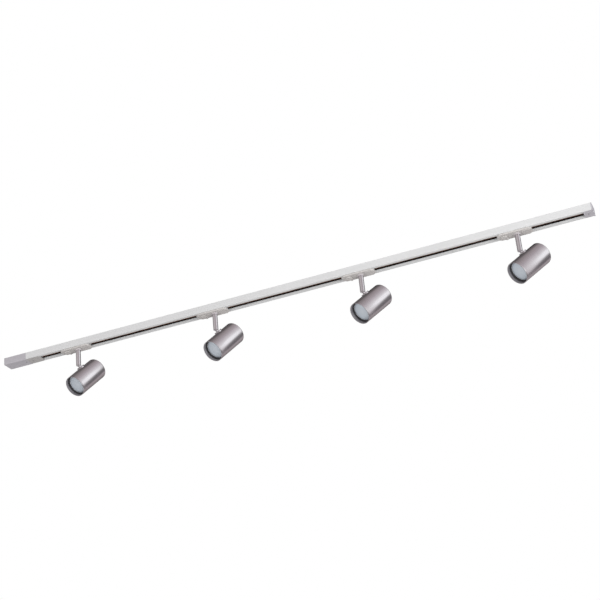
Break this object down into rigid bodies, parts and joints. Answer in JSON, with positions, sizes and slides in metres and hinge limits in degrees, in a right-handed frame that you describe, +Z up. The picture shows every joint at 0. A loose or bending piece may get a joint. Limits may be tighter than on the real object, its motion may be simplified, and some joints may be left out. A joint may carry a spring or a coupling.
{
  "type": "track lighting fixture",
  "caption": "Ceiling rail with a live-end feed and adjustable cylindrical spotlights that slide, pan and tilt.",
  "frame": {"origin": "middle of the rail's top face, which lies on the ceiling", "axes": "+X along the rail towards the end cap, +Z up into the ceiling"},
  "size_m": [1.5685, 0.1074, 0.1485],
  "materials": {
    "rail_paint": "powder-coated light silver grey, satin",
    "black_liner": "matt black extrusion",
    "copper": "plain copper strip",
    "feed_plastic": "cool grey moulded plastic, fine texture",
    "adapter_plastic": "warm grey moulded plastic, fine texture",
    "terminal_plastic": "off-white moulded plastic",
    "steel_screw": "zinc-plated steel",
    "nickel": "satin nickel plate, brushed along the lamp's axis",
    "baffle_black": "matt black",
    "lamp_white": "white lamp body",
    "lamp_glass": "frosted front glass",
    "ceramic": "white glazed ceramic, with a steel bracket"
  },
  "bodies": {
    "track": {"rail_profile": "rail_paint", "rail_insulator": "black_liner", "conductor_strips": "copper", "feed_housing": "feed_plastic", "feed_tongue": "adapter_plastic", "feed_terminal_block": "terminal_plastic", "end_cap": "feed_plastic", "cover_screws": "steel_screw"},
    "adapter_1": {"adapter_body_1": "adapter_plastic"},
    "lock_1": {"lock_knob_1": "adapter_plastic", "contact_blades_1": "copper"},
    "stem_1": {"stem_collar_1": "nickel", "stem_tube_1": "nickel", "pivot_screw_1": "steel_screw"},
    "head_1": {"tilt_knuckle_1": "nickel", "saddle_washer_1": "nickel", "head_shell_1": "nickel", "baffle_ring_1": "baffle_black", "lamp_1": "lamp_white", "lamp_lens_1": "lamp_glass", "lampholder_1": "ceramic"},
    "adapter_2": {"adapter_body_2": "adapter_plastic"},
    "lock_2": {"lock_knob_2": "adapter_plastic", "contact_blades_2": "copper"},
    "stem_2": {"stem_collar_2": "nickel", "stem_tube_2": "nickel", "pivot_screw_2": "steel_screw"},
    "head_2": {"tilt_knuckle_2": "nickel", "saddle_washer_2": "nickel", "head_shell_2": "nickel", "baffle_ring_2": "baffle_black", "lamp_2": "lamp_white", "lamp_lens_2": "lamp_glass", "lampholder_2": "ceramic"},
    "adapter_3": {"adapter_body_3": "adapter_plastic"},
    "lock_3": {"lock_knob_3": "adapter_plastic", "contact_blades_3": "copper"},
    "stem_3": {"stem_collar_3": "nickel", "stem_tube_3": "nickel", "pivot_screw_3": "steel_screw"},
    "head_3": {"tilt_knuckle_3": "nickel", "saddle_washer_3": "nickel", "head_shell_3": "nickel", "baffle_ring_3": "baffle_black", "lamp_3": "lamp_white", "lamp_lens_3": "lamp_glass", "lampholder_3": "ceramic"},
    "adapter_4": {"adapter_body_4": "adapter_plastic"},
    "lock_4": {"lock_knob_4": "adapter_plastic", "contact_blades_4": "copper"},
    "stem_4": {"stem_collar_4": "nickel", "stem_tube_4": "nickel", "pivot_screw_4": "steel_screw"},
    "head_4": {"tilt_knuckle_4": "nickel", "saddle_washer_4": "nickel", "head_shell_4": "nickel", "baffle_ring_4": "baffle_black", "lamp_4": "lamp_white", "lamp_lens_4": "lamp_glass", "lampholder_4": "ceramic"}
  },
  "joints": [
    {"name": "slide_1", "type": "slide", "parent": "track", "child": "adapter_1", "axis": [1, 0, 0], "range_m": [-0.055, 0.055]},
    {"name": "lock_1", "type": "hinge", "parent": "adapter_1", "child": "lock_1", "pos_m": [-0.635, 0, -0.02], "axis": [0, 0, 1], "range_deg": [0, 90]},
    {"name": "pan_1", "type": "hinge", "parent": "adapter_1", "child": "stem_1", "pos_m": [-0.604, 0, -0.02], "axis": [0, 0, 1], "range_deg": [-175, 175]},
    {"name": "tilt_1", "type": "hinge", "parent": "stem_1", "child": "head_1", "pos_m": [-0.604, 0, -0.0632], "axis": [0.9018, -0.4321, 0], "range_deg": [-43, 32]},
    {"name": "slide_2", "type": "slide", "parent": "track", "child": "adapter_2", "axis": [1, 0, 0], "range_m": [-0.055, 0.055]},
    {"name": "lock_2", "type": "hinge", "parent": "adapter_2", "child": "lock_2", "pos_m": [-0.244, 0, -0.02], "axis": [0, 0, 1], "range_deg": [0, 90]},
    {"name": "pan_2", "type": "hinge", "parent": "adapter_2", "child": "stem_2", "pos_m": [-0.213, 0, -0.02], "axis": [0, 0, 1], "range_deg": [-175, 175]},
    {"name": "tilt_2", "type": "hinge", "parent": "stem_2", "child": "head_2", "pos_m": [-0.213, 0, -0.0632], "axis": [0.8415, -0.5402, 0], "range_deg": [-42, 33]},
    {"name": "slide_3", "type": "slide", "parent": "track", "child": "adapter_3", "axis": [1, 0, 0], "range_m": [-0.055, 0.055]},
    {"name": "lock_3", "type": "hinge", "parent": "adapter_3", "child": "lock_3", "pos_m": [0.147, 0, -0.02], "axis": [0, 0, 1], "range_deg": [0, 90]},
    {"name": "pan_3", "type": "hinge", "parent": "adapter_3", "child": "stem_3", "pos_m": [0.178, 0, -0.02], "axis": [0, 0, 1], "range_deg": [-175, 175]},
    {"name": "tilt_3", "type": "hinge", "parent": "stem_3", "child": "head_3", "pos_m": [0.178, 0, -0.0632], "axis": [0.7649, -0.6441, 0], "range_deg": [-40, 35]},
    {"name": "slide_4", "type": "slide", "parent": "track", "child": "adapter_4", "axis": [1, 0, 0], "range_m": [-0.055, 0.055]},
    {"name": "lock_4", "type": "hinge", "parent": "adapter_4", "child": "lock_4", "pos_m": [0.538, 0, -0.02], "axis": [0, 0, 1], "range_deg": [0, 90]},
    {"name": "pan_4", "type": "hinge", "parent": "adapter_4", "child": "stem_4", "pos_m": [0.569, 0, -0.02], "axis": [0, 0, 1], "range_deg": [-175, 175]},
    {"name": "tilt_4", "type": "hinge", "parent": "stem_4", "child": "head_4", "pos_m": [0.569, 0, -0.0632], "axis": [0.6743, -0.7385, 0], "range_deg": [-38.5, 36.5]}
  ]
}
